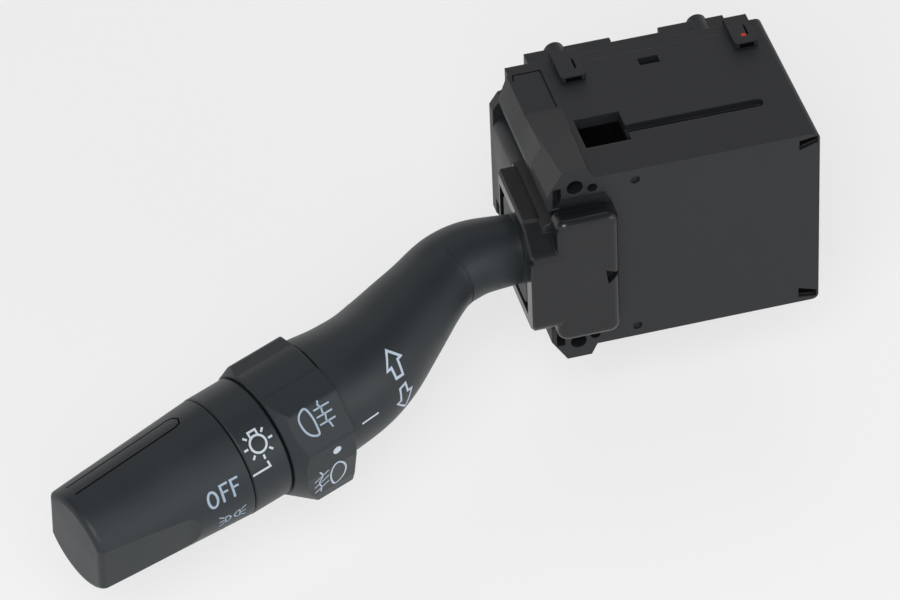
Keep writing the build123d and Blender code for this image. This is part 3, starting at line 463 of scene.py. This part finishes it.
def case_lines():
    """Painted shade: black strips on the snap tabs' fronts for the shade in their undercuts, and black fills in
    the corner notches for the shade in those recesses; and the dark line round the tongue.
    """
    facing_driver = Matrix(((1, 0, 0), (0, 0, 1), (0, -1, 0))).transposed().to_4x4()
    # painted shade: a flat black strip on each snap tab's front face stands in for the shade in the undercut
    # beneath it
    for name, middle, half in (("left_tab_painted_shade", 9.75, 2.75), ("right_tab_painted_shade", 50.65, 2.55)):
        place = Matrix.Translation(Vector((middle, 30.0, 24.95)) * MM) @ facing_driver
        add_mark(name, ribbon([(-half, 0.0), (half, 0.0)], 1.05), place, "rear_cover", "housing", deep_black)
    # painted shade: black fills laid in the upper and lower corner notches stand in for the shade in those
    # recesses
    notch = [(52.25, 20.4), (56.25, 21.7), (56.25, 23.3), (52.25, 22.75)]
    before_case = Matrix.Translation(Vector((0.0, -3.0, 0.0)) * MM) @ facing_driver
    for name, side in (("upper_notch_painted_shade", 1), ("lower_notch_painted_shade", -1)):
        back = [(x, side * z) for x, z in notch]
        add_mark(name, [[back]], before_case, "main_case", "housing", deep_black)
    line = ribbon([(3.3, 40.4), (-2.9, 40.4), (-3.3, 38.3)], 0.3)
    above_case = Matrix.Translation(Vector((0.0, 0.0, 28.0)) * MM)
    add_mark("tongue_line", line, above_case, "main_case", "housing", deep_black)


bpy.context.scene.view_settings.view_transform = "Standard"
add_camera()
add_world()
add_floor()
add_area("key", (-0.30, -0.85, 0.80), 0.5, 8.0)
add_area("fill", (0.80, -0.80, 0.35), 0.8, 3.0)
add_area("top", (0.10, 0.50, 1.00), 0.8, 1.2)

grain_group = make_grain_group()
case_plastic = plastic("case_plastic", (0.011, 0.0118, 0.0138), (0.0165, 0.0178, 0.0205),
                       rough=(0.42, 0.55), grain_scale=2600.0, grain_depth=0.00004)
bracket_gloss = plastic("bracket_gloss", (0.009, 0.0096, 0.011), (0.0135, 0.0144, 0.0162),
                        rough=(0.16, 0.26), grain_scale=1200.0, grain_depth=0.00001)
stalk_satin = plastic("stalk_satin", (0.012, 0.0165, 0.0195), (0.018, 0.0245, 0.028),
                      rough=(0.40, 0.50), grain_scale=3200.0, grain_depth=0.00003)
mark_blue = plastic("mark_blue", (0.30, 0.38, 0.48), (0.35, 0.43, 0.53),
                    rough=(0.45, 0.55), grain_scale=2400.0, grain_depth=0.00001)
mark_pale = plastic("mark_pale", (0.44, 0.52, 0.62), (0.49, 0.57, 0.67),
                    rough=(0.45, 0.55), grain_scale=2400.0, grain_depth=0.00001)
mark_white = plastic("mark_white", (0.50, 0.56, 0.62), (0.57, 0.63, 0.69),
                     rough=(0.45, 0.55), grain_scale=2400.0, grain_depth=0.00001)
paint_red = plastic("paint_red", (0.50, 0.02, 0.015), (0.62, 0.03, 0.02),
                    rough=(0.35, 0.45), grain_scale=2400.0, grain_depth=0.00002)
# deep_black is painted shade in the snap-tab undercuts and corner notches, and the colour of the dark tongue and
# knob-rib lines
deep_black = plastic("deep_black", (0.002, 0.002, 0.002), (0.003, 0.003, 0.003),
                     rough=(0.7, 0.8), grain_scale=2400.0, grain_depth=0.00001, ior=1.05)
acetal = plastic("acetal", (0.72, 0.70, 0.62), (0.78, 0.76, 0.69),
                 rough=(0.35, 0.45), grain_scale=1800.0, grain_depth=0.00001)
board = plastic("board", (0.26, 0.14, 0.06), (0.32, 0.18, 0.08),
                rough=(0.4, 0.5), grain_scale=1500.0, grain_depth=0.00001)
steel = metal("steel", (0.56, 0.57, 0.58), 0.28)
copper = metal("copper", (0.80, 0.50, 0.26), 0.25)

dress(case_plastic, "main_case", "rear_cover")
dress(bracket_gloss, "turn_bracket")
dress(stalk_satin, "stalk_core", "stalk_sleeve", "fog_collar", "index_ring", "light_knob")
dress(acetal, "turn_detent_cam", "dimmer_cam", "turn_slider", "dimmer_slider", "cancel_pawl", "end_spindle",
      "turn_detent_plunger")
dress(board, "turn_contact_plate", "dimmer_contact_plate", "fog_contact_disc", "light_contact_disc")
dress(steel, "dimmer_pivot_pin", "turn_detent_spring", "dimmer_plunger", "dimmer_spring", "cancel_pin",
      "cancel_spring", "spindle_clip", "fog_detent_ball", "fog_detent_spring", "light_detent_ball",
      "light_detent_spring")
dress(copper, "terminal_blades", "turn_wiper", "dimmer_wiper", "fog_wiper", "light_wiper")

lamp_marks()
knob_marks()
fog_marks()
handle_marks()
paint_dot()
knob_rib_line()
case_lines()
